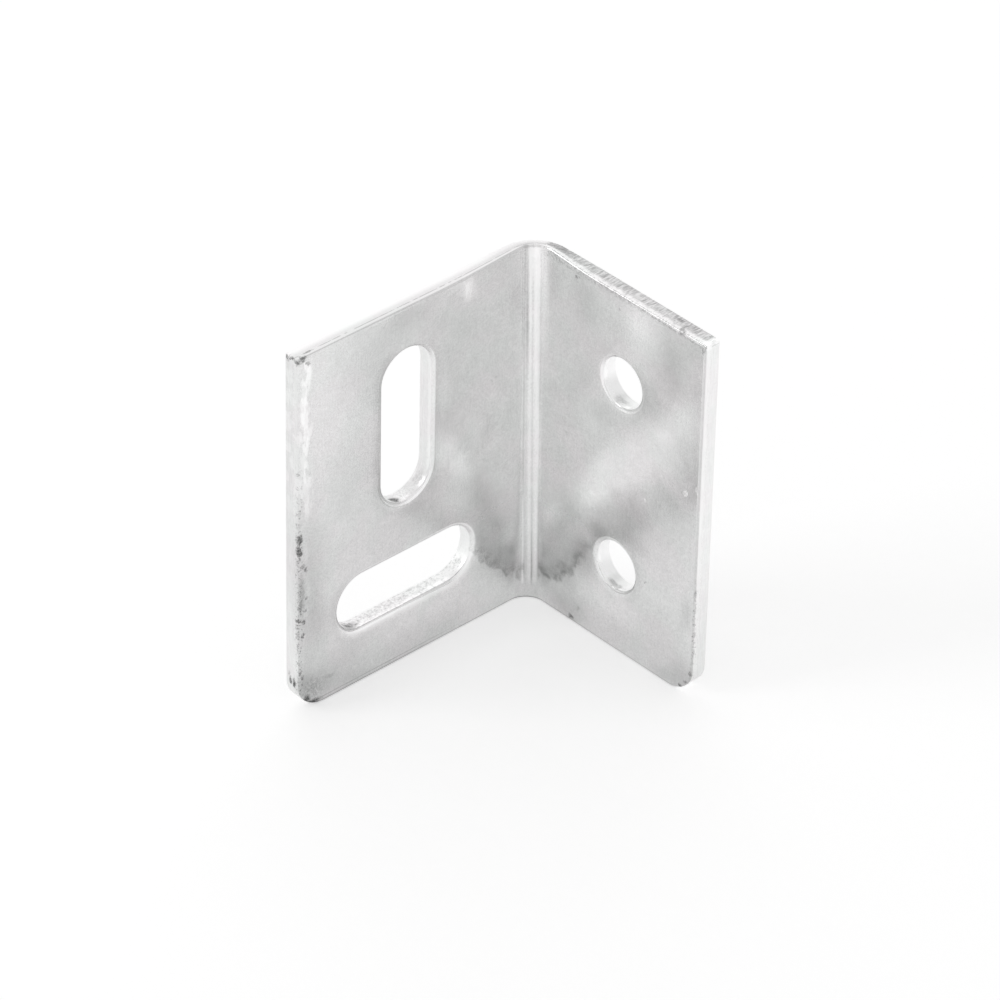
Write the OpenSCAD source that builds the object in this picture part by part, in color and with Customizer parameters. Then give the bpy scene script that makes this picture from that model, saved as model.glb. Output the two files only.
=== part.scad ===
// Stretcher plate: a pressed steel angle that holds a wooden top down to its frame.
// The holed leg is screwed fast. The slotted leg has one slot along it and one up it, so that
// its screw can travel whichever way the timber swells and shrinks.
// The blank is punched from its inner side, which rolls every rim over, and is then folded.
// +Z runs up the fold. The holed leg reaches towards +X and the slotted leg towards -Y.
// The origin is in the middle of the rectangle that the plate stands in, on its lower edge.

/* [Blank] */
// Height of the plate, along the fold
height = 38; // [32:0.5:60]
// Reach of the slotted leg, from the back of the holed leg
slotted_reach = 29.5; // [24:0.5:50]
// Reach of the holed leg, from the back of the slotted leg
holed_reach = 23.2; // [18:0.2:40]
// Thickness of the sheet
sheet = 1.7; // [1:0.1:2.5]
// Radius of the lower corner of each leg
corner_radius = 3; // [1:0.25:4.5]

/* [Fold] */
// Inside radius of the fold
fold_radius = 2; // [1.2:0.1:3.5]
// Width of the line that the nose of the press leaves inside the fold
nose_line_width = 1.3; // [0.8:0.05:1.6]
// Depth of that line
nose_line_depth = 0.1; // [0.05:0.01:0.15]
// Height above the lower edge at which the line starts to fade
nose_line_start = 3; // [2:0.1:6]

/* [Screw holes] */
// Diameter of each screw hole
hole_d = 5; // [3.5:0.1:7]
// Distance from the back of the slotted leg to the centres of the holes
hole_reach = 13; // [10:0.1:14]
// Distance from the upper or lower edge to the centre of the nearer hole
hole_margin = 9.1; // [6:0.1:11]

/* [Slots] */
// Width of both slots
slot_width = 5.9; // [4:0.1:7]
// Metal left above the upright slot
upright_slot_margin = 4.45; // [2.5:0.05:7]
// Metal left between the two slots
slot_gap = 5.55; // [2.5:0.05:8]
// Metal left below the flat slot
flat_slot_margin = 5.9; // [3.5:0.05:8]
// Metal left between the flat slot and the free end of the leg
slot_end_margin = 4.6; // [2.5:0.05:8]
// Distance from the back of the holed leg to the near end of the flat slot
slot_fold_margin = 8.7; // [7:0.05:11]

/* [Rolled rims] */
// Width of the rolled rim round each punched opening
rim_width = 0.5; // [0.2:0.05:0.8]
// Depth of that rim
rim_depth = 0.2; // [0.1:0.02:0.3]
// Width of the rolled edge round the blank
edge_width = 0.3; // [0.15:0.05:0.5]
// Depth of that edge
edge_depth = 0.15; // [0.08:0.01:0.2]
// Slope at which a rolled surface runs out into the face
roll_slope = 8; // [4:1:12]

/* [Hidden] */
$fn = 96;
quarter_turn = 90;
half_turn = 180;
// how far a cutter runs past the metal
overcut = 0.5;
fold_outer = fold_radius + sheet;
slot_radius = slot_width / 2;
flat_slot_height = flat_slot_margin + slot_radius;
flat_slot_start = slot_fold_margin + slot_radius;
flat_slot_end = slotted_reach - slot_end_margin - slot_radius;
upright_slot_reach = (flat_slot_start + flat_slot_end) / 2;
upright_slot_bottom = flat_slot_margin + slot_width + slot_gap + slot_radius;
upright_slot_top = height - upright_slot_margin - slot_radius;
// the nose cuts a circle through both sides of its line and through the bottom of it
nose_half_width = nose_line_width / 2;
fold_rise = fold_radius - sqrt(pow(fold_radius, 2) - pow(nose_half_width, 2));
nose_rise = fold_rise + nose_line_depth;
nose_radius = (pow(nose_half_width, 2) + pow(nose_rise, 2)) / (2 * nose_rise);
nose_offset = fold_radius + nose_line_depth - nose_radius;

// Radius of the arc that leaves the face at roll_slope and is rolled down by depth at the wall
function roll_radius(width, depth) =
    (pow(width, 2) + pow(depth, 2)) / (2 * (depth * cos(roll_slope) - width * sin(roll_slope)));

// What a roll takes off, in section: x runs into the metal from the wall, y stands on the face.
// The arc runs on a little past both, so that it cuts each of them cleanly.
module roll_section(width, depth) {
    radius = roll_radius(width, depth);
    crest = width + radius * sin(roll_slope);
    difference() {
        translate([-overcut, -2 * depth])
            square([overcut + crest, 2 * depth + overcut]);
        translate([crest, -radius * cos(roll_slope)])
            circle(r = radius);
    }
}

// A straight roll on the inner face, from start along heading, with the metal on its left
module roll_run(start, heading, length, width, depth) {
    translate([start[0], start[1], sheet])
        rotate([quarter_turn, 0, quarter_turn + heading])
            linear_extrude(height = length)
                roll_section(width, depth);
}

// A roll round the outside of a hole or of a slot's round end
module roll_round(centre, radius, from, sweep, width, depth) {
    translate([centre[0], centre[1], sheet])
        rotate([0, 0, from])
            rotate_extrude(angle = sweep)
                translate([radius, 0])
                    roll_section(width, depth);
}

// A roll round the outside of a corner of the blank
module corner_roll(centre, radius) {
    translate([centre[0], centre[1], sheet])
        rotate([0, 0, -quarter_turn])
            rotate_extrude(angle = quarter_turn)
                translate([radius, 0])
                    mirror([1, 0])
                        roll_section(edge_width, edge_depth);
}

// One leg, flat, with its back on the ground: x is the reach, y the height
module leg_blank(reach) {
    translate([fold_outer, corner_radius, 0])
        cube([reach - fold_outer, height - corner_radius, sheet]);
    translate([fold_outer, 0, 0])
        cube([reach - corner_radius - fold_outer, corner_radius, sheet]);
    translate([reach - corner_radius, corner_radius, 0])
        rotate([0, 0, -quarter_turn])
            rotate_extrude(angle = quarter_turn)
                square([corner_radius, sheet]);
}

// The rolled edge round the three cut sides of one leg
module leg_edge_rolls(reach) {
    roll_run([fold_outer, 0], 0, reach - corner_radius - fold_outer, edge_width, edge_depth);
    corner_roll([reach - corner_radius, corner_radius], corner_radius);
    roll_run([reach, corner_radius], quarter_turn, height - corner_radius + overcut,
        edge_width, edge_depth);
    roll_run([reach + overcut, height], half_turn, reach + overcut - fold_outer,
        edge_width, edge_depth);
}

// A punched round hole with its rolled rim
module screw_hole(centre) {
    translate([centre[0], centre[1], -overcut])
        cylinder(d = hole_d, h = sheet + 2 * overcut);
    roll_round(centre, hole_d / 2, 0, 2 * half_turn, rim_width, rim_depth);
}

// A punched slot with its rolled rim, from start along heading, given between its end centres
module travel_slot(start, heading, length) {
    translate([start[0], start[1], 0])
        rotate([0, 0, heading]) {
            for (along = [0, length])
                translate([along, 0, -overcut])
                    cylinder(d = slot_width, h = sheet + 2 * overcut);
            translate([0, -slot_radius, -overcut])
                cube([length, slot_width, sheet + 2 * overcut]);
            roll_run([0, slot_radius], 0, length, rim_width, rim_depth);
            roll_run([length, -slot_radius], half_turn, length, rim_width, rim_depth);
            roll_round([length, 0], slot_radius, -quarter_turn, half_turn, rim_width, rim_depth);
            roll_round([0, 0], slot_radius, quarter_turn, half_turn, rim_width, rim_depth);
        }
}

// The leg that is screwed fast
module holed_leg() {
    difference() {
        leg_blank(holed_reach);
        leg_edge_rolls(holed_reach);
        for (up = [hole_margin, height - hole_margin])
            screw_hole([hole_reach, up]);
    }
}

// The leg that lets its screw travel
module slotted_leg() {
    difference() {
        leg_blank(slotted_reach);
        leg_edge_rolls(slotted_reach);
        travel_slot([flat_slot_start, flat_slot_height], 0, flat_slot_end - flat_slot_start);
        travel_slot([upright_slot_reach, upright_slot_bottom], quarter_turn,
            upright_slot_top - upright_slot_bottom);
    }
}

// The line pressed along the middle of the fold: full depth above, fading out below
module nose_line() {
    middle = half_turn - quarter_turn / 2;
    rotate([0, 0, middle])
        translate([nose_offset, 0, 0]) {
            translate([0, 0, nose_line_start])
                cylinder(r = nose_radius, h = height + overcut - nose_line_start);
            cylinder(r1 = nose_radius - 2 * nose_line_depth, r2 = nose_radius,
                h = nose_line_start);
        }
}

// The quarter turn of sheet that joins the legs, round the axis of the fold
module fold() {
    difference() {
        rotate([0, 0, quarter_turn])
            rotate_extrude(angle = quarter_turn)
                difference() {
                    translate([fold_radius, 0])
                        square([sheet, height]);
                    translate([fold_radius, 0])
                        rotate(quarter_turn)
                            roll_section(edge_width, edge_depth);
                    translate([fold_radius, height])
                        mirror([1, 1])
                            roll_section(edge_width, edge_depth);
                }
        nose_line();
    }
}

module plate() {
    color("silver")
        translate([-holed_reach / 2, slotted_reach / 2, 0]) {
            translate([fold_outer, -fold_outer, 0])
                fold();
            rotate([quarter_turn, 0, 0])
                holed_leg();
            rotate([quarter_turn, 0, quarter_turn])
                mirror([1, 0, 0])
                    slotted_leg();
        }
}

plate();
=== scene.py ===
# %% [markdown]
# # A stretcher plate
# This small pressed steel angle holds a wooden table top down to its frame. One leg has two
# round holes and is screwed fast. The other has two slots, so that its screw can travel when
# the timber swells and shrinks.
# The lesson makes it in the order of the workshop: cut the blank, roll its edges, punch it,
# mark the middle of the fold, fold it, plate it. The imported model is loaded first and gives
# the box that the finished plate has to fit.

import math

import bmesh
import bpy
from mathutils import Matrix, Vector


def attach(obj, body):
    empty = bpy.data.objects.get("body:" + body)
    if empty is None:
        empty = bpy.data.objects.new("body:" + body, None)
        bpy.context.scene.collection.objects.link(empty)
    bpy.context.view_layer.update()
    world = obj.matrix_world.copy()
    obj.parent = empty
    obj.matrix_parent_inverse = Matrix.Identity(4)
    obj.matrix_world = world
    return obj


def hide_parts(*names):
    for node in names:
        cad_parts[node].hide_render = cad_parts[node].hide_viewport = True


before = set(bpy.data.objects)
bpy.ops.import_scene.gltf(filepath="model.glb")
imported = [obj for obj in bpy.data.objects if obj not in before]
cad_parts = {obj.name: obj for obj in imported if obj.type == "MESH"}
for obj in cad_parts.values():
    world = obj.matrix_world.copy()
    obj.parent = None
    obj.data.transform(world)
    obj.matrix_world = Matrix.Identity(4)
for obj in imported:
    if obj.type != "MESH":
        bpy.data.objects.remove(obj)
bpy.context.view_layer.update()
mm = 0.001

# %% [markdown]
# ## Camera
# A long lens from a fair distance keeps small hardware looking upright and true, because
# near and far edges come out almost the same size. The place of the camera could be typed in
# as three numbers, but a heading, an elevation and a distance from a point on the part are
# easier to read and to change, so the place is worked out from those.

# %% Camera
view_heading = math.radians(46.659)
view_elevation = math.radians(35.356)
view_roll = math.radians(1.231)
view_distance = 541.857 * mm
view_target = Vector((-0.711, 0.681, 21.040)) * mm
lens_length = 222.41          # in millimetres, like the width of the sensor
sensor_width = 36

away = Vector((math.sin(view_heading) * math.cos(view_elevation),
               -math.cos(view_heading) * math.cos(view_elevation),
               math.sin(view_elevation)))
level = Vector((0, 0, 1)).cross(away).normalized()
upright = away.cross(level)
right = level * math.cos(view_roll) + upright * math.sin(view_roll)
top = upright * math.cos(view_roll) - level * math.sin(view_roll)

bpy.ops.object.select_all(action="DESELECT")
bpy.ops.object.camera_add()
camera = bpy.context.object
camera.name = "camera"
camera.data.lens = lens_length
camera.data.sensor_width = sensor_width
camera.data.clip_start = 10 * mm
camera.matrix_world = Matrix((
    (right.x, top.x, away.x, view_target.x + away.x * view_distance),
    (right.y, top.y, away.y, view_target.y + away.y * view_distance),
    (right.z, top.z, away.z, view_target.z + away.z * view_distance),
    (0, 0, 0, 1)))
bpy.context.scene.camera = camera
print("camera stands at, mm:", [round(v / mm, 1) for v in camera.matrix_world.translation])

# %% [markdown]
# ## Writing shaders as sums
# A shader is a network of nodes, and most of them only add, multiply or compare. Placing them
# one by one hides the idea, so a small class stands for a socket, and the ordinary signs
# + - * / on it add the Math nodes. Every other node comes from one method that takes the type
# of the node, its settings and the values of its sockets.

# %% A socket that can be reckoned with
class Value:
    """One socket of a finish. Arithmetic on it adds Math nodes to the same finish."""

    def __init__(self, finish, socket):
        self.finish = finish
        self.socket = socket

    def reckon(self, operation, first, second):
        return self.finish.node("ShaderNodeMath", {"operation": operation}, {0: first, 1: second})

    def __add__(self, other):
        return self.reckon("ADD", self, other)

    def __sub__(self, other):
        return self.reckon("SUBTRACT", self, other)

    def __mul__(self, other):
        return self.reckon("MULTIPLY", self, other)

    def __truediv__(self, other):
        return self.reckon("DIVIDE", self, other)

    def __radd__(self, other):
        return self.reckon("ADD", other, self)

    def __rsub__(self, other):
        return self.reckon("SUBTRACT", other, self)

    def __rmul__(self, other):
        return self.reckon("MULTIPLY", other, self)

    def __rtruediv__(self, other):
        return self.reckon("DIVIDE", other, self)

    def lesser(self, other):
        return self.reckon("MINIMUM", self, other)

    def greater(self, other):
        return self.reckon("MAXIMUM", self, other)

    def size(self):
        return self.reckon("ABSOLUTE", self, 0.0)


# %% A finish that nodes are added to
class Finish:
    """The nodes of a material or of the world, and the one method that adds a node to them."""

    def __init__(self, owner):
        self.owner = owner
        owner.use_nodes = True
        self.tree = owner.node_tree
        self.tree.nodes.clear()

    def node(self, kind, settings=None, sockets=None, output=0):
        step = self.tree.nodes.new(kind)
        for name, value in (settings or {}).items():
            setattr(step, name, value)
        for name, value in (sockets or {}).items():
            if isinstance(value, Value):
                self.tree.links.new(value.socket, step.inputs[name])
            else:
                step.inputs[name].default_value = value
        return Value(self, step.outputs[output]) if output is not None else None

    def ease(self, value, start, end, low=0.0, high=1.0):
        """Goes softly from low at start to high at end."""
        return self.node("ShaderNodeMapRange",
                         {"interpolation_type": "SMOOTHSTEP"},
                         {"Value": value, "From Min": start, "From Max": end,
                          "To Min": low, "To Max": high})

    def stretch(self, place, along):
        """Multiplies a place by a number for each of its directions."""
        return self.node("ShaderNodeVectorMath", {"operation": "MULTIPLY"},
                         {0: place, 1: along})

    def grain(self, place, scale, detail=2.0, roughness=0.5):
        """Even noise about 0.5, whose spots are about 1/scale across."""
        return self.node("ShaderNodeTexNoise", {},
                         {"Vector": place, "Scale": scale, "Detail": detail,
                          "Roughness": roughness})

    def line(self, value, middle, half_width):
        """1 where value is at the middle, falling softly to 0 at half_width from it."""
        return self.ease((value - middle).size(), half_width, 0.0)

    def spot(self, place, middle, halves, soft=0.7):
        """1 inside an egg-shaped spot round middle, falling softly to 0 at its border."""
        scale = [1 / half for half in halves]
        inside = self.node("ShaderNodeVectorMath", {"operation": "MULTIPLY_ADD"},
                           {0: place, 1: scale, 2: [-m * k for m, k in zip(middle, scale)]})
        reach = self.node("ShaderNodeVectorMath", {"operation": "LENGTH"}, {0: inside},
                          output="Value")
        return self.ease(reach, 1.0, 1.0 - soft)

    def blend(self, share, first, second):
        """The first colour where share is 0 and the second where it is 1."""
        return self.node("ShaderNodeMix", {"data_type": "RGBA"},
                         {0: share, 6: first, 7: second}, output=2)

    def looked_at(self):
        """1 for the camera, for mirrors and for glass, and 0 for the light that falls on things."""
        camera, mirror, glass = (self.node("ShaderNodeLightPath", output=ray) for ray in
                                 ("Is Camera Ray", "Is Glossy Ray", "Is Transmission Ray"))
        return camera.greater(mirror).greater(glass)


# %% [markdown]
# ## Table and light
# Shiny metal shows its surroundings more than itself, so small bright goods are lit inside a
# white tent. A tent of cloth panels would do, but a sky of one even colour gives the same
# reflections with nothing to build. It is pale to the eye and in every reflection, and
# dimmer as a lamp, so that the table keeps a shadow. The table is a pale board with a
# little glow of its own. One broad soft lamp behind gives the top edges their shine, and
# one in front on the left lights the leg with the holes.

# %% Sky
tent_glow = 1.0
tent_lamp = 0.72
tent_colour = (0.8, 0.8, 0.8, 1)

tent = Finish(bpy.data.worlds.new("white_tent"))
bpy.context.scene.world = tent.owner
strength = tent_lamp + tent.looked_at() * (tent_glow - tent_lamp)
sky = tent.node("ShaderNodeBackground", {}, {"Color": tent_colour, "Strength": strength})
tent.node("ShaderNodeOutputWorld", {}, {"Surface": sky}, output=None)

# %% Lamps
def soft_lamp(name, place, aim, width, watts):
    """A square soft lamp that shines from place towards aim."""
    bpy.ops.object.light_add(type="AREA", location=place)
    lamp = bpy.context.object
    lamp.name = name
    lamp.data.shape = "SQUARE"
    lamp.data.size = width
    lamp.data.energy = watts
    lamp.visible_camera = False
    lamp.rotation_euler = (Vector(place) - Vector(aim)).to_track_quat("Z", "Y").to_euler()
    return lamp


lamp_aim = (0, 0, 0.02)
soft_lamp("back_lamp", (-0.45, 0.42, 0.45), lamp_aim, width=0.6, watts=0.35)
soft_lamp("left_lamp", (-0.45, -0.70, 0.60), lamp_aim, width=0.4, watts=1.2)

# %% Table
table_width = 6.0
board_colour = (0.86, 0.86, 0.86, 1)
board_glow = 0.43

bpy.ops.object.select_all(action="DESELECT")
bpy.ops.mesh.primitive_grid_add(x_subdivisions=4, y_subdivisions=4, size=table_width)
table = bpy.context.object
table.name = "table"
board = Finish(bpy.data.materials.new("white_board"))
paint = board.node("ShaderNodeBsdfDiffuse", {}, {"Color": board_colour})
shine = board.node("ShaderNodeEmission", {}, {"Color": (1, 1, 1, 1),
                                              "Strength": board.looked_at() * board_glow})
both = board.node("ShaderNodeAddShader", {}, {0: paint, 1: shine})
board.node("ShaderNodeOutputMaterial", {}, {"Surface": both}, output=None)
table.data.materials.append(board.owner)
print("table, m across:", table_width)

# %% [markdown]
# ## The blank
# The plate starts as a strip of cold-rolled steel. A press cuts it out in one stroke, and
# that leaves three bands on every cut edge: a soft roll where the metal was dragged down, a
# bright land where the punch slid past, and a rough, slightly leaning break below it. The
# strip could be drawn as an outline and thickened, but one block with three kinds of inset is
# shorter: the block is the bright land, the insets on its front are the roll, and one deep
# inset on its back is the break.
#
# The strip lies along x and stands up along z. Its punched side looks towards +y, and y is
# 0 on the line of the sheet that keeps its length in the fold.

# %% Sizes of the blank
height = 38 * mm
sheet = 1.7 * mm
corner_radius = 3 * mm
slotted_reach = 29.5 * mm
holed_reach = 23.2 * mm
fold_radius = 2 * mm
keeps_length = 0.68 * mm      # how deep below the punched side the sheet keeps its length

fold_outer = fold_radius + sheet
fold_flat = (fold_radius + keeps_length) * math.pi / 2
slotted_end = fold_flat / 2 + slotted_reach - fold_outer
holed_end = -(fold_flat / 2 + holed_reach - fold_outer)
front = keeps_length
back = keeps_length - sheet
edge_width = 0.3 * mm
edge_depth = 0.15 * mm
break_height = 0.95 * mm
break_lean = 0.02 * mm
burr = 0.03 * mm              # the small chamfer along the back
print("flat length of the strip, mm:", round((slotted_end - holed_end) / mm, 2))


# %% Picking and pushing
def pick(kind, test):
    """Selects the vertices, edges or faces whose middle and normal pass the test."""
    bpy.ops.mesh.select_mode(type="VERT")
    bpy.ops.mesh.select_all(action="DESELECT")
    bpy.ops.mesh.select_mode(type=kind)
    shape = bmesh.from_edit_mesh(bpy.context.object.data)
    if kind == "VERT":
        found = [v for v in shape.verts if test(v.co, v.normal)]
    elif kind == "EDGE":
        found = [e for e in shape.edges
                 if test((e.verts[0].co + e.verts[1].co) / 2,
                         (e.verts[1].co - e.verts[0].co).normalized())]
    else:
        found = [f for f in shape.faces if test(f.calc_center_median(), f.normal)]
    for part in found:
        part.select_set(True)
    shape.select_flush_mode()
    bmesh.update_edit_mesh(bpy.context.object.data)
    return len(found)


def near(value, target, slack=0.004 * mm):
    return abs(value - target) < slack


def roll_steps(width, depth, count=6):
    """How far each ring of a roll lies from the wall, and below the face."""
    turns = [math.pi / 2 * step / count for step in range(count + 1)]
    return [(width * (1 - math.cos(t)), depth * (1 - math.sin(t))) for t in turns]


# %% One block, bevelled at its two lower corners
bpy.ops.object.select_all(action="DESELECT")
land_front = front - edge_depth
land_back = back + break_height
bpy.ops.mesh.primitive_cube_add(
    size=1, location=((slotted_end + holed_end) / 2, (land_front + land_back) / 2, height / 2),
    scale=(slotted_end - holed_end, land_front - land_back, height))
plate = bpy.context.object
plate.name = "stretcher_plate"
bpy.ops.object.transform_apply(location=True, rotation=True, scale=True)

bpy.ops.object.mode_set(mode="EDIT")
corners = pick("EDGE", lambda p, d: abs(d.y) > 0.99 and near(p.z, 0))
bpy.ops.mesh.bevel(offset=corner_radius, segments=14, profile=0.5, affect="EDGES")
print("lower corners rounded:", corners)

# %% The roll on the front and the break on the back
pick("FACE", lambda p, n: n.y > 0.99)
rings = roll_steps(edge_width, edge_depth)
for (near_in, near_down), (far_in, far_down) in zip(rings, rings[1:]):
    bpy.ops.mesh.inset(thickness=far_in - near_in, depth=near_down - far_down,
                       use_even_offset=True)
pick("FACE", lambda p, n: n.y < -0.99)
bpy.ops.mesh.inset(thickness=break_lean, depth=break_height - burr, use_even_offset=True)
bpy.ops.mesh.inset(thickness=burr, depth=burr, use_even_offset=True)
bpy.ops.object.mode_set(mode="OBJECT")
print("faces of the blank:", len(plate.data.polygons))

# %% [markdown]
# ## Punching the openings
# Each opening is punched from the inner side, so its rim is rolled in like the edge of a
# doughnut, and its wall has the same bright land and leaning break. The rim could be
# bevelled afterwards, but a bevel is as wide as it is deep and this roll is wider than
# deep. So the tool that cuts the opening carries the roll itself: a cylinder with a flared
# mouth. A slot is the same tool with one half of it pulled away along the slot. The cylinder
# is turned by half a side, so that no corner of it lies on the line where it parts.

# %% Sizes of the openings
hole_d = 5 * mm
hole_reach = 13 * mm
hole_margin = 9.1 * mm
slot_width = 5.9 * mm
upright_slot_margin = 4.45 * mm
slot_gap = 5.55 * mm
flat_slot_margin = 5.9 * mm
slot_end_margin = 4.6 * mm
slot_fold_margin = 8.7 * mm
rim_width = 0.5 * mm
rim_depth = 0.2 * mm
wall_lean = 0.05 * mm         # how much wider an opening is at the back than at its land
overcut = 0.3 * mm            # how far a punch runs past the sheet
clear_of_face = 0.003 * mm    # keeps the last ring of the flare off the face itself


def slotted(reach):
    """Where a reach on the slotted leg lies along the flat strip."""
    return fold_flat / 2 + reach - fold_outer


def holed(reach):
    """Where a reach on the holed leg lies along the flat strip."""
    return -(fold_flat / 2 + reach - fold_outer)


slot_radius = slot_width / 2
flat_slot_start = slot_fold_margin + slot_radius
flat_slot_end = slotted_reach - slot_end_margin - slot_radius
upright_reach = (flat_slot_start + flat_slot_end) / 2
upright_low = flat_slot_margin + slot_width + slot_gap + slot_radius
upright_high = height - upright_slot_margin - slot_radius


# %% The punch
def ring_out(centre, radius, rise, grow):
    """Extrudes the picked end of the punch by rise and widens it by grow."""
    bpy.ops.mesh.extrude_region_move(TRANSFORM_OT_translate={"value": (0, rise, 0)})
    share = (radius + grow) / radius
    bpy.ops.transform.resize(value=(share, 1, share), center_override=centre)
    return radius + grow


def punch(name, middle, radius, pull):
    """A punch with a flared mouth. Pull moves one half of it, to make a slot."""
    sides = 96
    centre = (middle[0], 0, middle[1])
    land_low = back + break_height
    land_high = front - rim_depth
    bpy.ops.object.select_all(action="DESELECT")
    bpy.ops.mesh.primitive_cylinder_add(
        vertices=sides, radius=radius / math.cos(math.pi / sides), depth=land_high - land_low,
        location=(middle[0], (land_low + land_high) / 2, middle[1]),
        rotation=(math.pi / 2, math.pi / sides, 0))
    tool = bpy.context.object
    tool.name = name
    bpy.ops.object.transform_apply(location=True, rotation=True, scale=True)
    bpy.ops.object.mode_set(mode="EDIT")
    size = radius
    pick("FACE", lambda p, n: near(p.y, land_high))
    steps = roll_steps(rim_width, rim_depth)
    for (near_in, near_down), (far_in, far_down) in zip(steps, steps[1:]):
        size = ring_out(centre, size, near_down - far_down, far_in - near_in)
    bpy.ops.transform.translate(value=(0, clear_of_face, 0))
    ring_out(centre, size, overcut, 0)
    pick("FACE", lambda p, n: near(p.y, land_low))
    through = break_height + overcut
    ring_out(centre, radius, -through, wall_lean * through / break_height)
    if any(pull):
        pick("VERT", lambda p, n: p.x > middle[0] if pull[0] else p.z > middle[1])
        bpy.ops.transform.translate(value=(pull[0], 0, pull[1]))
    bpy.ops.mesh.select_all(action="SELECT")
    bpy.ops.mesh.normals_make_consistent(inside=False)
    bpy.ops.object.mode_set(mode="OBJECT")
    return tool


def cut(piece, tool):
    """Takes the tool out of the piece, and puts the tool away."""
    bpy.ops.object.select_all(action="DESELECT")
    bpy.context.view_layer.objects.active = piece
    piece.select_set(True)
    step = piece.modifiers.new(tool.name, "BOOLEAN")
    step.operation = "DIFFERENCE"
    step.solver = "EXACT"
    step.object = tool
    bpy.ops.object.modifier_apply(modifier=step.name)
    bpy.data.objects.remove(tool)


# %% Punch the four openings
openings = {
    "lower_hole": ((holed(hole_reach), hole_margin), hole_d / 2, (0, 0)),
    "upper_hole": ((holed(hole_reach), height - hole_margin), hole_d / 2, (0, 0)),
    "flat_slot": ((slotted(flat_slot_start), flat_slot_margin + slot_radius), slot_radius,
                  (flat_slot_end - flat_slot_start, 0)),
    "upright_slot": ((slotted(upright_reach), upright_low), slot_radius,
                     (0, upright_high - upright_low)),
}
for name, (middle, radius, pull) in openings.items():
    cut(plate, punch(name, middle, radius, pull))
    print(name, "is at, mm:", [round(v / mm, 2) for v in middle])
print("faces after punching:", len(plate.data.polygons))

# %% [markdown]
# ## Columns for the fold
# A sheet bends only where it has vertices to bend at. The strip is cut with the bisect tool
# into narrow columns across the fold, and again a little above its lower edge, where the
# line that the press leaves runs out.

# %% Columns and levels
column_count = 32
line_start = 1.3 * mm
line_full = 3.2 * mm
line_lean = 0.021             # the line runs a little askew: mm along the strip for each mm up
beyond_fold = (0.35, 0.75, 1.2, 1.8, 2.5)     # columns in the legs, mm past the fold
beyond_on_rim = (4, 6, 8.9)                   # and these only in the upper rim
joined_within = 0.0005 * mm


def slice_across(place, normal):
    """Cuts through the whole strip at place, and keeps both sides."""
    bpy.ops.mesh.select_all(action="SELECT")
    bpy.ops.mesh.bisect(plane_co=place, plane_no=normal, threshold=joined_within)


def lean(column):
    """How much a column leans: with the line in the middle of the fold, upright at its ends."""
    return line_lean * (1 - (2 * column / fold_flat) ** 2)


columns = [fold_flat * (step / column_count - 0.5) for step in range(column_count + 1)]
bpy.ops.object.select_all(action="DESELECT")
plate.select_set(True)
bpy.context.view_layer.objects.active = plate
bpy.ops.object.mode_set(mode="EDIT")
for column in columns:
    slice_across((column, 0, height / 2), (1, 0, -lean(column)))
beside = [side * (fold_flat / 2 + beyond * mm)
          for side in (-1, 1) for beyond in beyond_fold]
for column in beside:
    slice_across((column, 0, 0), (1, 0, 0))
for level_up in (line_start, (line_start + line_full) / 2, line_full):
    slice_across((0, 0, level_up), (0, 0, 1))
rim_only = [side * (fold_flat / 2 + beyond * mm) for side in (-1, 1) for beyond in beyond_on_rim]
for column in rim_only:
    pick("FACE", lambda p, n: p.z > height - edge_width)
    bpy.ops.mesh.bisect(plane_co=(column, 0, 0), plane_no=(1, 0, 0), threshold=joined_within)
bpy.ops.object.mode_set(mode="OBJECT")
print("columns in the fold:", column_count, "faces now:", len(plate.data.polygons))

# %% [markdown]
# ## The squeezed edge
# Where a thick sheet is folded, its inner side is squeezed and has to go somewhere: it swells
# out of the cut edge, while the outer side is drawn in. So the upper edge leans over the
# fold. Tilting that edge, column by column, about the line that keeps its length does the
# same. Without a window the rotate tool turns the other way, so its angle is negative.

# %% Tilt the upper edge over the fold
edge_tilt = math.radians(19)
slotted_tilt_reach = 11 * mm
holed_tilt_reach = 8 * mm
tilt_middle = -0.75 * mm
tilted_band = 1.4 * edge_width
on_column = 0.012 * mm
upper_columns = [column + lean(column) * height / 2 for column in columns] + beside + rim_only

bpy.ops.object.mode_set(mode="EDIT")
for column in upper_columns:
    reach = slotted_tilt_reach if column > 0 else holed_tilt_reach
    share = 0.5 + 0.5 * math.cos(math.pi * min(1, abs(column) / reach))
    pick("VERT", lambda p, n: near(p.x, column, on_column) and p.z > height - tilted_band)
    bpy.ops.transform.rotate(value=-edge_tilt * share, orient_axis="X",
                             center_override=(column, tilt_middle, height))
bpy.ops.object.mode_set(mode="OBJECT")
print("columns tilted:", len(upper_columns), "highest point, mm:",
      round(max(v.co.z for v in plate.data.vertices) / mm, 2))

# %% [markdown]
# ## The line of the press nose
# The blunt blade that pushes the strip down into the die leaves a shallow track along the
# middle of the fold, with a fine ridge on each side of it. Pushing in whole columns of
# vertices makes it: each column is picked by its place along the strip, and moved in by its
# own depth.

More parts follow.
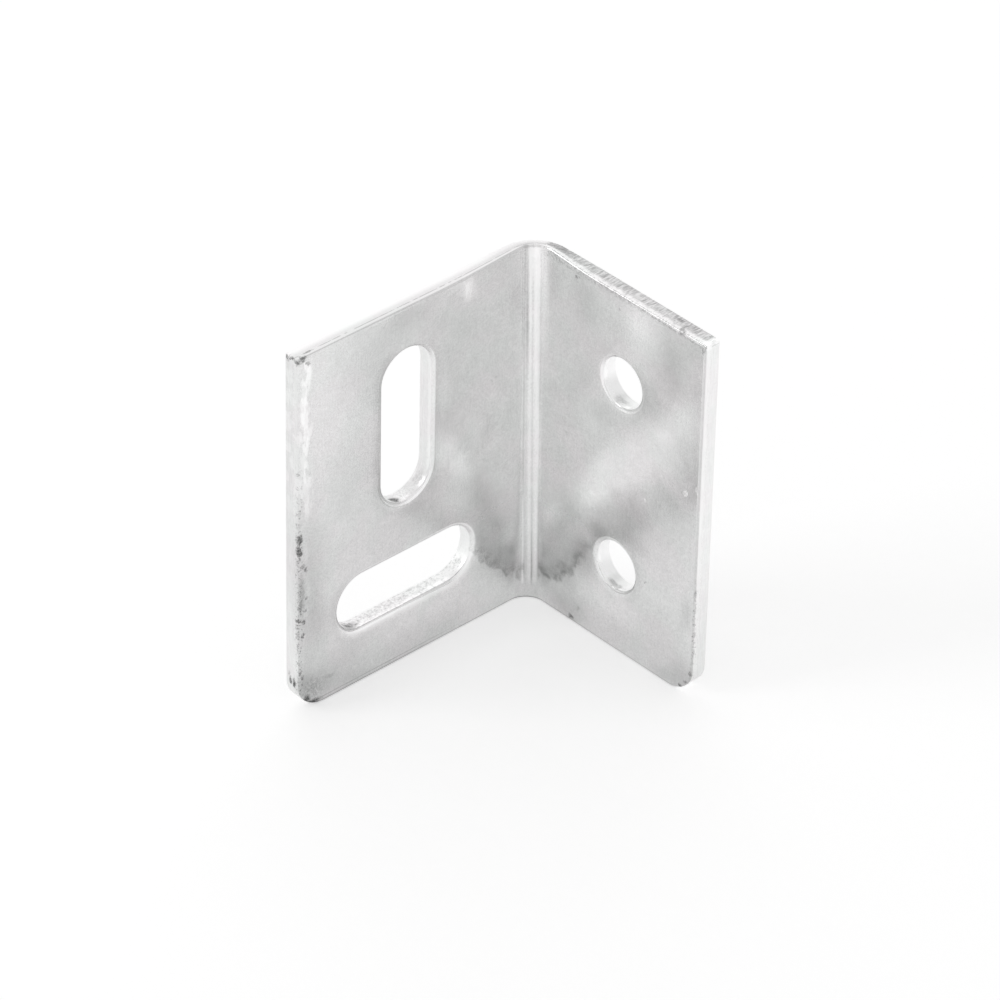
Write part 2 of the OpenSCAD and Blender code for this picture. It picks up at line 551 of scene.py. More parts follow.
# %% Press the line
line_middle = -0.115 * mm     # where the middle of the line is, halfway up the fold
worn_from = 0.6 * mm          # above half height the nose is worn from here on
worn_share = 0.25
between_levels = 0.1 * mm     # keeps a test for height clear of the vertices on a level
half_column = 0.07 * mm
on_leaning_column = 0.01 * mm
nose_track = [
    # how far along the strip from the middle of the line, and how far it is pushed in, mm
    (1.18, -0.01), (1.05, 0.02), (0.92, 0.04), (0.79, 0.03), (0.66, 0.03), (0.53, 0.025),
    (0.39, 0.0), (0.26, 0.0), (0.13, 0.02), (0.0, 0.055), (-0.13, 0.02), (-0.26, 0.0),
    (-0.39, 0.0), (-0.53, 0.02), (-0.66, 0.03), (-0.79, 0.03), (-0.92, 0.015),
]


def pressed(along):
    """How far the nose pushes the sheet in at a place along the strip."""
    nearest = min(nose_track, key=lambda row: abs(row[0] * mm - along))
    return nearest[1] * mm if abs(nearest[0] * mm - along) < half_column else 0.0


inner_side = front - edge_depth - 0.001 * mm
bpy.ops.object.mode_set(mode="EDIT")
pushed = 0
for column in columns:
    push = pressed(column - line_middle)
    if push == 0.0:
        continue
    upper_share = worn_share if column - line_middle > worn_from else 1.0
    for low, high, share in ((line_start + between_levels, line_full - between_levels, 0.5),
                             (line_full - between_levels, height / 2, 1.0),
                             (height / 2, height + mm, upper_share)):
        count = pick("VERT", lambda p, n: p.y > inner_side and low < p.z < high
                     and near(p.x, column + lean(column) * (p.z - height / 2),
                              on_leaning_column))
        if count:
            bpy.ops.transform.translate(value=(0, -push * share, 0))
            pushed += count
bpy.ops.object.mode_set(mode="OBJECT")
print("vertices pushed in by the nose:", pushed)

# %% [markdown]
# ## Remembering the flat sheet
# The grain of rolled steel, and the scratches and spots on it, belong to the sheet and go
# round the fold with it. A pattern on plain object coordinates would cut straight through
# the bend. So each vertex notes its place in the flat strip before the fold, in millimetres,
# with y counted from the back, and each face notes whether it is a cut edge. The
# finish reads those two notes.

# %% Note the flat places and the cut edges
cut_slope = 0.45              # a face whose normal points less than this along y is cut

flat = plate.data.attributes.new("flat", "FLOAT_VECTOR", "POINT")
for vertex in plate.data.vertices:
    flat.data[vertex.index].vector = (vertex.co.x / mm, (vertex.co.y - back) / mm,
                                      vertex.co.z / mm)
cut_edge = plate.data.attributes.new("cut_edge", "FLOAT", "FACE")
for face in plate.data.polygons:
    cut_edge.data[face.index].value = 1.0 if abs(face.normal.y) < cut_slope else 0.0
print("cut faces:", sum(1 for f in cut_edge.data if f.value > 0.5))

# %% [markdown]
# ## The fold
# The strip is pushed into a V-shaped die and comes out at a right angle. Blender's Simple
# Deform modifier bends it in the same way: inside its limits the sheet turns evenly, and
# beyond them both legs stay straight. The inner side is squeezed and the outer side
# stretched, so the modifier bends about the line y = 0, which keeps its length. Afterwards
# the V is turned and moved, so that the legs lie along the frame's axes.

# %% Fold the strip
bend = plate.modifiers.new("fold", "SIMPLE_DEFORM")
bend.deform_method = "BEND"
bend.deform_axis = "Z"
bend.angle = math.pi / 2
length = slotted_end - holed_end
bend.limits = ((-fold_flat / 2 - holed_end) / length, (fold_flat / 2 - holed_end) / length)
bpy.ops.object.modifier_apply(modifier=bend.name)

home_turn = math.radians(-135)
turn = Matrix.Rotation(home_turn, 4, "Z")
fold_axis = Vector((-holed_reach / 2 + fold_outer, slotted_reach / 2 - fold_outer, 0))
turned_axis = turn @ Vector((0, fold_radius + keeps_length, 0))
plate.rotation_euler = (0, 0, home_turn)
plate.location = fold_axis - turned_axis
bpy.ops.object.transform_apply(location=True, rotation=True, scale=True)
places = [v.co for v in plate.data.vertices]
print("folded size, mm:", [round((max(p[i] for p in places) - min(p[i] for p in places)) / mm, 3)
                           for i in range(3)])

# %% [markdown]
# ## Smooth and sharp
# The rolls and the fold are round and have to shade softly, and the burred back edges are
# sharp. Shading by angle keeps every crease above the angle sharp. The flat faces are large,
# and a soft normal at their borders would make them look like pillows, so the Weighted
# Normal modifier lets the larger face decide at each shared vertex.

# %% Shade the plate
sharp_from = math.radians(32)

bpy.ops.object.select_all(action="DESELECT")
plate.select_set(True)
bpy.context.view_layer.objects.active = plate
bpy.ops.object.shade_smooth_by_angle(angle=sharp_from)
steady = plate.modifiers.new("steady_normals", "WEIGHTED_NORMAL")
steady.keep_sharp = True
bpy.ops.object.modifier_apply(modifier=steady.name)
print("sharp edges:", sum(1 for e in plate.data.edges if e.use_edge_sharp))

# %% [markdown]
# ## The zinc plating
# The plating is thin and follows the steel under it: bright, slightly milky, with the fine
# upright grain of the rolled sheet. A painted picture wrapped round the plate would do, but
# sums of noise, lines and spots stay sharp at any size and follow the notes made on the flat
# sheet. So every zone of the finish is given in millimetres of that sheet: along, depth, up.
# A tone of 1 is about the brightest zinc, and most marks only make it darker.

# %% What the finish reads
zinc = Finish(bpy.data.materials.new("bright_zinc"))
place = zinc.node("ShaderNodeAttribute", {"attribute_name": "flat"}, output="Vector")
edge = zinc.node("ShaderNodeAttribute", {"attribute_name": "cut_edge"}, output="Fac")
along, depth, up = (zinc.node("ShaderNodeSeparateXYZ", {}, {"Vector": place}, output=name)
                    for name in "XYZ")
stray = (0.9, 0.5, 0.9)       # how far the noise can move a place, from end to end, mm
jitter = zinc.node("ShaderNodeTexNoise", {}, {"Vector": place, "Scale": 2.6, "Detail": 4.0,
                                              "Roughness": 0.65}, output="Color")
shifted = zinc.node("ShaderNodeVectorMath", {"operation": "MULTIPLY_ADD"},
                    {0: jitter, 1: stray, 2: place})
ragged_place = zinc.node("ShaderNodeVectorMath", {"operation": "SUBTRACT"},
                         {0: shifted, 1: [way / 2 for way in stray]})
slotted_far = slotted_end / mm
holed_far = holed_end / mm
top_up = height / mm
face_depth = sheet / mm       # the depth of the inner face
print("ends of the strip in its notes, mm:", round(slotted_far, 2), round(holed_far, 2))

# %% [markdown]
# ### The sheet
# Cold rolling leaves fine lines that run up the plate, and the plating bath leaves faint
# clouds and freckles. They could be scratches in the mesh, but they are far finer than a
# vertex, so noise stretched along z draws them, in the tone and in a very shallow bump.

# %% The sheet
combed = zinc.grain(zinc.stretch(place, (8, 8, 0.6)), 1.0, detail=4, roughness=0.65)
cloud = zinc.grain(place, 0.45, detail=4, roughness=0.6)
mottle = zinc.grain(place, 2.2, detail=3, roughness=0.65)
grit = zinc.grain(place, 5.5, detail=3, roughness=0.7)
freckle = zinc.grain(place, 9.0, detail=2, roughness=0.6)
plain_tone = 0.79
sheet_tone = (plain_tone + (cloud - 0.5) * 0.14 + (mottle - 0.5) * 0.12 + (combed - 0.5) * 0.10
              + (grit - 0.5) * 0.22 + (freckle - 0.5) * 0.28)

# Painted shade for the shadowed table that the legs reflect: darker low down, and away from
# the fold a little darker below the top, more on the slotted leg
from_fold = along.size()
slotted_side = zinc.ease(along, 0.6, 1.2)
low_painted_shade = zinc.ease(up, 9.0, 0.5) * 0.12
far_painted_shade = zinc.ease(up, 34.0, 14.0) * zinc.ease(from_fold, 6.0, 12.0)
far_painted_shade = far_painted_shade * (0.03 + slotted_side * 0.05)
print("nodes for the sheet:", len(zinc.tree.nodes))

# %% [markdown]
# ### The cut edges
# The land is bright, because the punch rubbed it. The break is grey and combed across the
# thickness of the sheet. On the top of the holed leg the comb is coarse, because that edge
# was cut by the worn part of the blade. The other edges only show a trace of it. A second
# material on the edges would make a hard border, so one finish holds both, and the note on
# cut faces chooses between them.

# %% The cut edges
ragged = zinc.grain(zinc.stretch(place, (1.6, 0.2, 1.6)), 1.0, detail=3)
chips = zinc.grain(zinc.stretch(place, (5.0, 2.0, 5.0)), 1.0, detail=3, roughness=0.7)
wander = (ragged - 0.5) * 0.4 + (chips - 0.5) * 0.5
broken = edge * zinc.ease(depth - wander, 1.16, 1.04)     # the 1.1 mm nearest the back
slanted = zinc.node("ShaderNodeCombineXYZ", {},
                    {"X": along, "Y": depth * 0.12, "Z": up})
comb = zinc.grain(slanted, 7.5, detail=4, roughness=0.75)
torn = zinc.ease(comb, 0.38, 0.60)
hatch = zinc.grain(zinc.stretch(place, (0.8, 9.0, 0.8)), 1.0, detail=3, roughness=0.7)

# Which edge a place belongs to
top_side = zinc.ease(up, top_up - 0.6, top_up - 0.3)
holed_side = zinc.ease(along, -0.6, -1.2)
slotted_tip = zinc.ease(along, slotted_far - 0.7, slotted_far - 0.4)
holed_tip = zinc.ease(along, holed_far + 0.6, holed_far + 0.3)

# Painted light and shade on the walls: the floors of the openings and the fold end of the flat
# slot are lighter where they catch their own light, the walls on the holed leg are lighter,
# and the feet of the round holes and the walls at both tips are darker
wall_depth = face_depth / 2
sill = zinc.ease(up, 7.6, 6.6) * zinc.ease(up, 5.0, 5.5) * zinc.ease(along, 5.0, 6.0)
sill = sill * (1 - slotted_tip)
slot_bowl = zinc.spot(place, (9.2, wall_depth, 8.2), (3.2, 2.0, 3.8))
upright_bowl = zinc.spot(place, (15.9, wall_depth, 17.6), (3.6, 2.0, 2.2))
hole_feet_shade = 0.0
for name in ("lower_hole", "upper_hole"):
    (x, z), radius, pull = openings[name]
    foot = (x / mm + 0.4, wall_depth, (z - radius) / mm)
    hole_feet_shade = hole_feet_shade + zinc.spot(place, foot, (1.5, 2.0, 1.1))
low_tip = zinc.ease(up, 16.0, 6.0) * 0.07
wall_tone = (0.87 + holed_side * 0.18
             - slotted_tip * (0.08 - low_tip) - holed_tip * (0.12 + low_tip)
             + sill * (grit + mottle * 0.8 - 0.84) + upright_bowl * ((grit - 0.5) * 0.9 + 0.08)
             + slot_bowl * 0.20 - hole_feet_shade * 0.20
             + (hatch - 0.5) * 0.24 - broken * (0.02 + (comb - 0.5) * 0.12))

# The top of the slotted leg has a thin broken line between its land and its bright break
dashes = zinc.ease(zinc.grain(place, 1.3, detail=3), 0.40, 0.52)
seam = zinc.line(depth, 1.22, 0.10) * dashes
slotted_top = 0.97 - zinc.ease(depth, 0.25, 1.2) * 0.20 - seam * 0.26

# The top of the holed leg is torn across, and only its inner border is bright
worn = 0.38 + torn * 0.38
border = zinc.ease(depth + wander * 1.8, 0.90, 1.45)
nibbled = zinc.ease(chips, 0.44, 0.60) * zinc.ease(depth, 1.2, 1.5)
holed_top = worn + (0.90 - nibbled * 0.20 - worn) * border
nibbled_roll = nibbled * zinc.ease(depth, 1.48, 1.55) * holed_side * 0.26
wedge = zinc.spot(ragged_place, (-2.3, 0.7, top_up), (2.0, 0.7, 1.0))
tear = zinc.spot(ragged_place, (-18.25, 1.2, top_up), (0.25, 0.8, 1.0))
blunt_tip = zinc.ease(along, holed_far + 0.7, holed_far + 0.3)
holed_top = holed_top * (1 - wedge * 0.28) * (1 - tear * 0.45) + blunt_tip * 0.4

top_tone = slotted_top + (holed_top - slotted_top) * holed_side
edge_tone = wall_tone + (top_tone - wall_tone) * top_side + (freckle - 0.5) * 0.06
print("nodes with the cut edges:", len(zinc.tree.nodes))

# %% [markdown]
# ### Marks
# Every plate leaves the plating barrel with knocks: pits along the burred edges, and bright
# rubbed spots where plates slid over each other. Along the edge of the slotted end the bright
# spots are painted highlight as well as rubbing. Random noise could scatter them, but real
# marks gather where plates hit each other, so each is listed one by one: one soft egg-shaped
# spot, given by its place in the flat sheet and its half sizes, in millimetres. A little noise
# in the place makes its border ragged.

# %% Pits, rubbed spots and painted highlights
pits = [
    # along, depth, up; half sizes; strength
    (27.90, 0.25, 37.6, 0.4, 0.30, 0.40, 0.75), (27.35, 1.55, 37.8, 0.5, 0.4, 0.35, 0.75),
    (27.90, 0.62, 37.7, 0.4, 0.25, 0.25, 0.70), (27.90, 0.95, 37.8, 0.3, 0.30, 0.30, 0.70),
    (27.85, 1.50, 37.6, 0.4, 0.35, 0.40, 0.70), (26.50, 1.25, 38.0, 0.8, 0.16, 0.30, 0.50),
    (26.75, 1.70, 37.2, 0.3, 0.40, 0.30, 0.45), (27.85, 1.60, 25.9, 0.16, 0.4, 0.35, 0.40),
    (27.88, 1.60, 24.5, 0.12, 0.3, 0.18, 0.30), (27.88, 1.60, 23.0, 0.14, 0.3, 0.15, 0.28),
    (27.85, 1.60, 21.7, 0.14, 0.3, 0.15, 0.28), (27.85, 1.60, 20.4, 0.20, 0.4, 0.40, 0.25),
    (27.74, 1.65, 18.9, 0.36, 0.5, 0.75, 0.80), (27.78, 1.65, 17.7, 0.38, 0.5, 0.65, 0.90),
    (27.85, 1.60, 16.5, 0.16, 0.4, 0.60, 0.45), (27.45, 1.70, 15.9, 0.35, 0.4, 0.22, 0.45),
    (27.02, 1.70, 15.5, 0.20, 0.4, 0.30, 0.60), (27.55, 1.70, 12.8, 0.40, 0.4, 2.60, 0.30),
    (27.66, 1.70, 11.6, 0.26, 0.4, 1.20, 0.50), (27.04, 1.70, 12.3, 0.16, 0.4, 0.25, 0.50),
    (27.16, 1.70, 11.0, 0.28, 0.4, 0.16, 0.50), (27.80, 1.60, 10.1, 0.32, 0.5, 0.25, 0.75),
    (27.38, 1.70, 9.8, 0.22, 0.4, 0.35, 0.65), (27.95, 1.55, 9.4, 0.12, 0.5, 0.35, 0.60),
    (27.93, 1.60, 8.5, 0.18, 0.4, 0.45, 0.45), (27.36, 1.70, 8.4, 0.16, 0.4, 0.42, 0.70),
    (27.90, 1.60, 7.5, 0.12, 0.3, 0.30, 0.35), (27.80, 1.60, 5.4, 0.12, 0.3, 0.22, 0.40),
    (27.70, 1.60, 4.3, 0.16, 0.3, 0.25, 0.55), (27.45, 1.65, 3.6, 0.14, 0.3, 0.25, 0.65),
    (27.55, 1.60, 3.0, 0.14, 0.3, 0.25, 0.45), (27.90, 0.60, 3.1, 0.5, 0.28, 0.50, 0.85),
    (27.90, 1.10, 3.0, 0.5, 0.28, 0.60, 0.95), (27.90, 0.40, 3.8, 0.5, 0.16, 0.40, 0.35),
    (26.45, 1.50, 0.40, 1.4, 0.7, 0.48, 1.00), (27.00, 1.55, 1.1, 0.5, 0.6, 0.60, 1.00),
    (24.30, 1.70, 2.4, 0.7, 0.5, 0.35, 0.20), (-21.55, 1.60, 11.5, 0.12, 0.3, 0.70, 0.35),
    (-21.60, 1.60, 9.6, 0.14, 0.3, 0.30, 0.40), (-21.60, 1.60, 7.0, 0.12, 0.3, 0.40, 0.30),
    (-21.60, 1.60, 5.0, 0.12, 0.3, 0.50, 0.30), (-21.35, 1.65, 2.7, 0.22, 0.4, 0.45, 0.50),
    (-20.90, 1.65, 1.4, 0.30, 0.4, 0.28, 0.55), (-20.20, 1.65, 0.7, 0.40, 0.4, 0.22, 0.70),
    (-5.41, 1.70, 37.1, 0.20, 0.3, 0.28, 0.50), (-5.75, 1.70, 37.3, 0.16, 0.3, 0.10, 0.35),
    (-10.8, 1.70, 36.5, 0.12, 0.3, 0.14, 0.35), (-4.59, 1.70, 20.1, 0.11, 0.3, 0.11, 0.30),
    (-10.5, 1.45, 31.3, 0.24, 0.3, 0.30, 0.60), (4.60, 1.70, 25.9, 0.14, 0.3, 0.14, 0.35),
    (5.20, 1.70, 25.7, 0.12, 0.3, 0.12, 0.30), (-15.3, 1.70, 9.4, 0.14, 0.3, 0.16, 0.35),
    (-6.85, 1.70, 1.9, 0.24, 0.3, 0.40, 0.28), (-5.94, 1.70, 0.5, 0.36, 0.3, 0.34, 0.75),
    (-15.9, 1.70, 29.3, 0.30, 0.3, 0.35, 0.16), (16.20, 1.10, 17.5, 0.90, 0.6, 0.40, 0.80),
    (21.05, 0.95, 6.5, 1.10, 0.9, 0.80, 0.80), (-18.6, 1.55, 37.8, 0.55, 0.4, 0.35, 0.45),
    (-21.3, 1.60, 37.3, 0.25, 0.3, 0.50, 0.45), (-17.2, 0.5, 38.0, 0.60, 0.35, 0.3, 0.45),
    (13.00, 0.80, 18.3, 1.00, 0.9, 1.00, 0.22), (-10.7, 1.00, 26.4, 1.20, 0.6, 0.40, 0.24),
    (-11.1, 1.20, 6.7, 1.20, 0.4, 0.40, 0.42), (8.60, 0.70, 7.0, 1.00, 0.7, 0.80, 0.35),
]
# Bright rubbed spots; along the edge of the slotted end they are painted highlight as well
rubs_and_highlights = [
    (26.60, 1.70, 36.3, 0.35, 0.4, 1.2, 0.7), (27.15, 1.70, 34.0, 0.45, 0.4, 1.5, 0.8),
    (27.30, 1.70, 31.6, 0.40, 0.4, 1.6, 0.8), (26.90, 1.70, 29.5, 0.30, 0.4, 1.6, 0.7),
    (27.30, 1.70, 27.0, 0.40, 0.4, 1.8, 0.8), (27.05, 1.70, 24.2, 0.55, 0.4, 1.6, 0.8),
    (26.80, 1.70, 22.0, 0.60, 0.4, 1.0, 0.5), (27.00, 1.70, 17.0, 0.35, 0.4, 1.0, 0.5),
    (26.80, 1.70, 13.2, 0.25, 0.4, 1.8, 0.5), (27.00, 1.70, 10.9, 0.50, 0.4, 0.8, 0.4),
    (-19.9, 1.70, 21.6, 0.26, 0.3, 0.34, 1.0), (-21.2, 1.70, 22.6, 0.12, 0.3, 0.35, 0.6),
    (-14.9, 1.70, 18.2, 0.13, 0.3, 0.13, 0.8), (-14.3, 1.70, 19.3, 0.10, 0.3, 0.10, 0.6),
    (8.30, 1.70, 36.7, 0.35, 0.3, 0.9, 0.5), (7.9, 1.70, 35.9, 0.15, 0.3, 0.5, 0.4),
    (21.3, 1.70, 2.0, 0.40, 0.3, 0.25, 0.5), (19.1, 1.70, 1.4, 0.20, 0.3, 0.40, 0.6),
]


spread = 1.15                 # the border of a spot is faint, so each is made a little larger


def together(marks):
    """The strongest of many marks at each place."""
    total = None
    for along_at, depth_at, up_at, half_along, half_depth, half_up, strength in marks:
        mark = zinc.spot(ragged_place, (along_at, depth_at, up_at),
                         (half_along * spread, half_depth, half_up * spread)) * strength
        total = mark if total is None else total.greater(mark)
    return total


bite = zinc.ease(zinc.grain(place, 6.5, detail=2, roughness=0.6), 0.42, 0.56)
pitted = (together(pits) * (0.65 + bite * 0.50)).lesser(1.0)
rubbed = together(rubs_and_highlights)

# Both upright edges are speckled low down, and above that the slotted edge has streaks of
# painted highlight
speck = zinc.ease(zinc.grain(place, 4.2, detail=3, roughness=0.6), 0.55, 0.64)
slotted_specks = zinc.line(along, slotted_far - 0.18, 0.42) * zinc.ease(up, 27.0, 19.0) * 0.60
holed_specks = zinc.line(along, holed_far + 0.10, 0.25) * zinc.ease(up, 16.0, 8.0) * 0.45
specks = speck * (slotted_specks + holed_specks) * zinc.ease(depth, 1.1, 1.4)
highlight_streaks = zinc.ease(zinc.grain(zinc.stretch(place, (2.4, 1.0, 0.7)), 1.0, detail=4), 0.46, 0.57)
highlight_streaks = highlight_streaks * zinc.line(along, slotted_far - 0.8, 1.3) * zinc.ease(up, 19.0, 24.0)
highlight_streaks = highlight_streaks * (1 - top_side)
print("marks:", len(pits) + len(rubs_and_highlights))

# %% [markdown]
# ### The track of the nose
# The nose of the press burnishes the fold. Its track has bright and dark lines side by side,
# and they change on the way up, because the blade is worn. The pressed columns give the
# track its shape, but its finest lines are thinner than a column, so the tone adds them.
# These tone lines are partly the burnished track and partly painted highlight and shade on
# the round of the fold.
# Each line is one row: where it runs, how wide and strong it is, and at what height.

# %% Track of the nose
line_foot = (line_middle - line_lean * height / 2) / mm
line_place = along - line_foot - up * line_lean
on_inside = zinc.ease(depth, 1.2, 1.4)
run_out = zinc.ease(up, 1.2, 2.4)

full_length = 1.0
low_down = zinc.ease(up, 11.0, 3.0)
lower_half = zinc.ease(up, 15.0, 8.0)
middle_part = zinc.line(up, 16.5, 9.0)
high_up = zinc.ease(up, 22.0, 36.0)
upper_part = zinc.line(up, 30.5, 9.0)
worn_end = zinc.ease(up, 33.6, 36.2)
very_top = zinc.ease(up, 34.0, 37.0)
nose_lines = [
    # mm from the middle of the track, half width; how much brighter; at what height
    (0.00, 0.13, -0.05, full_length), (0.36, 0.34, 0.10, full_length),
    (-0.42, 0.46, 0.12, full_length), (0.90, 0.60, -0.05, full_length),
    (1.14, 0.14, 0.03, full_length), (0.00, 0.13, -0.20, low_down),
    (0.24, 0.15, 0.07, low_down), (1.10, 0.22, 0.30, lower_half),
    (-0.92, 0.45, 0.15, middle_part), (0.90, 0.60, -0.10, high_up),
    (-1.60, 1.20, 0.15, high_up), (0.62, 0.36, -0.23, upper_part),
    (1.22, 0.25, -0.15, upper_part), (0.05, 0.28, 0.07, worn_end),
    (-0.80, 0.30, 0.07, worn_end), (-0.20, 0.50, 0.07, very_top),
    (-1.10, 0.25, 0.14, very_top),
]
# Partly burnished track, partly painted highlight and shade on the round of the fold
nose = sum(zinc.line(line_place, middle, half_width) * brighter * at_height
           for middle, half_width, brighter, at_height in nose_lines)
nose = nose * run_out * on_inside
# Painted shade: the round of the fold is darker below its top, fully from 16 mm down
fold_painted_shade = zinc.ease(from_fold, 1.9, 1.2) * zinc.ease(up, 36.0, 16.0) * 0.08
print("lines in the track:", len(nose_lines))

# %% [markdown]
# ### Painted shade at the foot of the fold, and the clouds
# Both legs are painted darker above a ragged line a little above the foot of the fold, as
# painted shade for the shadowed corner of the table that each leg reflects in the other. One
# dark spot would be too round, so the line is a height that changes along the sheet and
# wanders with noise, and the painted shade lies above it, strongest at its border. The clouds
# are broad faint spots of painted shade and painted light in the shine. They are listed one
# by one too.

# %% Painted shade at the foot of the fold, and clouds
blotch = zinc.ease(zinc.grain(place, 1.1, detail=3, roughness=0.6), 0.38, 0.58)
lobes = zinc.grain(place, 0.75, detail=2, roughness=0.5)
swept = zinc.node("ShaderNodeSeparateXYZ", {}, {"Vector": ragged_place}, output="X").size()
slotted_shade_border = (swept * 1.02 + 0.4).greater(2.5)
holed_shade_border = (swept * 0.75 + 0.65).greater(swept * 1.6 - 4.0).greater(2.8)
shade_border_height = slotted_shade_border + (holed_shade_border - slotted_shade_border) * holed_side
over_shade_border = up + (lobes - 0.5) * 2.6 + (mottle - 0.5) * 0.7 - shade_border_height
soft_border = holed_side * 0.35               # the line is less sharp on the holed leg
# Painted shade above the ragged line
fold_foot_shade = zinc.ease(over_shade_border, 1.9, 0.4) * 0.19 + zinc.ease(over_shade_border, 4.2, 0.8) * 0.15
fold_foot_shade = fold_foot_shade * zinc.ease(over_shade_border, -0.15 - soft_border, 0.35 + soft_border)
fold_foot_shade = fold_foot_shade * zinc.ease(swept, 10.0, 6.0)   # it ends 6 to 10 mm from the fold
speckled = (grit - 0.5) * (2.8 - holed_side * 1.8)
fold_foot_shade = fold_foot_shade * (0.50 + blotch * 0.50 + speckled) * (1 + holed_side * 0.50)
fold_foot_shade = fold_foot_shade * on_inside * zinc.ease(line_place.size(), 0.72, 1.00, 0.1, 1.0)
# Speckled painted shade in the low corner at the slotted end
corner_painted_shade = zinc.spot(ragged_place, (26.2, 1.7, 2.0), (3.2, 1.2, 2.4), 1.0)
fold_foot_shade = fold_foot_shade + corner_painted_shade * (0.28 + (grit - 0.5) * 1.6)

clouds = [
    # along, up; half sizes; how much darker
    (24.0, 3.2, 5.0, 3.4, 0.07), (26.9, 12.6, 3.6, 13.0, 0.18), (25.6, 8.8, 2.6, 4.2, 0.10),
    (27.3, 3.2, 1.6, 2.0, 0.16), (20.0, 34.0, 6.0, 7.6, 0.10), (15.6, 36.8, 3.4, 2.0, 0.10),
    (22.2, 23.5, 3.2, 7.0, 0.07), (10.2, 14.8, 5.4, 5.0, -0.17), (11.0, 20.6, 2.6, 4.0, -0.09),
    (8.7, 18.4, 1.9, 2.8, -0.15), (8.1, 36.6, 1.2, 2.0, -0.22), (2.2, 33.0, 1.5, 3.4, 0.12),
    (5.6, 20.2, 1.6, 2.6, 0.12), (9.6, 21.4, 1.4, 2.0, -0.06), (2.9, 7.6, 1.5, 1.8, -0.20),
    (6.4, 7.4, 1.2, 1.8, -0.22), (4.4, 5.3, 1.1, 0.8, 0.18), (7.5, 16.8, 1.5, 1.8, -0.12),
    (11.0, 27.0, 1.5, 4.2, -0.10), (13.6, 4.0, 10.5, 3.2, -0.11), (5.0, 2.0, 4.5, 2.4, -0.05),
    (21.5, 0.9, 3.6, 1.6, 0.08), (-5.2, 1.4, 4.6, 3.0, 0.22), (-17.0, 5.0, 5.0, 4.5, 0.06),
    (-6.4, 35.0, 2.4, 4.4, 0.12), (-17.2, 34.4, 2.4, 5.4, 0.13), (-19.2, 29.4, 2.4, 3.4, -0.09),
    (-13.2, 36.2, 2.4, 2.4, -0.11), (-16.0, 18.4, 3.6, 3.6, -0.19), (-18.6, 22.0, 2.6, 3.2, -0.17),
    (-13.2, 12.8, 3.4, 1.7, 0.16), (-6.8, 14.2, 3.0, 2.8, -0.12), (-7.2, 7.6, 3.0, 3.4, 0.19),
    (-9.3, 11.6, 2.2, 1.8, 0.24), (-5.2, 4.4, 2.2, 1.8, 0.18), (-20.4, 1.6, 3.0, 3.4, 0.20),
    (-20.6, 8.6, 1.3, 3.0, 0.12), (-11.5, 4.4, 7.0, 2.4, -0.09), (-17.8, 0.7, 2.6, 1.6, 0.12),
    (-11.0, 17.0, 1.8, 1.5, 0.13), (-15.6, 28.8, 1.8, 3.4, 0.06), (-3.2, 10.4, 2.2, 2.8, -0.07),
    (-8.8, 24.6, 2.8, 2.0, 0.09), (-16.9, 26.2, 2.0, 1.6, -0.09),
]
# Painted shade where a cloud is darker, painted light where it is lighter
shade = sum(zinc.spot(ragged_place, (x, 1.7, z), (half_x, 1.2, half_z), 1.0) * darker
            for x, z, half_x, half_z, darker in clouds)
print("clouds:", len(clouds))

# %% [markdown]
# ### The dished rims
# The punch drags the sheet down a little way beyond the roll, so every opening lies in a
# shallow dish. It is far too shallow to see as a shape, but shiny metal shows the smallest
# slope: the lower side of the dish is bright and the upper side is dull. Bending the mesh
# would need rings round each opening that run into the fold, so the tone shows the dish.

# %% The dished rims of the openings
def dish(low, high, radius):
    """How near a place is to the rim of a slot from low to high, and its two directions."""
    beside = along - along.greater(low[0]).lesser(high[0])
    above = up - up.greater(low[1]).lesser(high[1])
    arm = zinc.node("ShaderNodeCombineXYZ", {}, {"X": beside, "Z": above})
    reach = zinc.node("ShaderNodeVectorMath", {"operation": "LENGTH"}, {0: arm}, output="Value")
    return reach - radius, beside / radius, above / radius


rim_shine = {
    # how bright the lower side of each rim is, and its side towards the fold
    "lower_hole": (0.08, 0.0), "upper_hole": (0.08, 0.0),
    "flat_slot": (0.24, 0.12), "upright_slot": (0.18, -0.05),
}
glow = 0.0
for name, ((x, z), radius, (pull_x, pull_z)) in openings.items():
    low = (x / mm, z / mm)
    high = ((x + pull_x) / mm, (z + pull_z) / mm)
    gap, beside_share, above_share = dish(low, high, radius / mm)
    outward = beside_share * (1 if x > 0 else -1)
    shine, fold_shine = rim_shine[name]
    sunny = zinc.ease(gap, 1.1, 0.05) * zinc.ease(above_share, -0.2, -1.0) * shine
    sunny = sunny + zinc.ease(gap, 1.2, 0.1) * zinc.ease(outward, -0.3, -0.9) * fold_shine
    shady = zinc.ease(gap, 1.5, 0.0) * zinc.ease(outward, 0.4, 1.0) * 0.12
    hooded = zinc.ease(gap, 0.32, 0.12) * zinc.ease(outward.greater(above_share), 0.1, 0.6) * shine
    glow = glow + (sunny - shady) * (1 - edge) - hooded
print("nodes with the rims:", len(zinc.tree.nodes))

# %% [markdown]
# ### All of it together
# What shines and the painted highlights are added to the tone, and what is pitted, worn or
# dirty and the painted shade multiply it, so that a mark or painted shade on a bright place
# still darkens it. The zinc is one metal everywhere: only its tone, its roughness and a very
# small bump change from place to place.

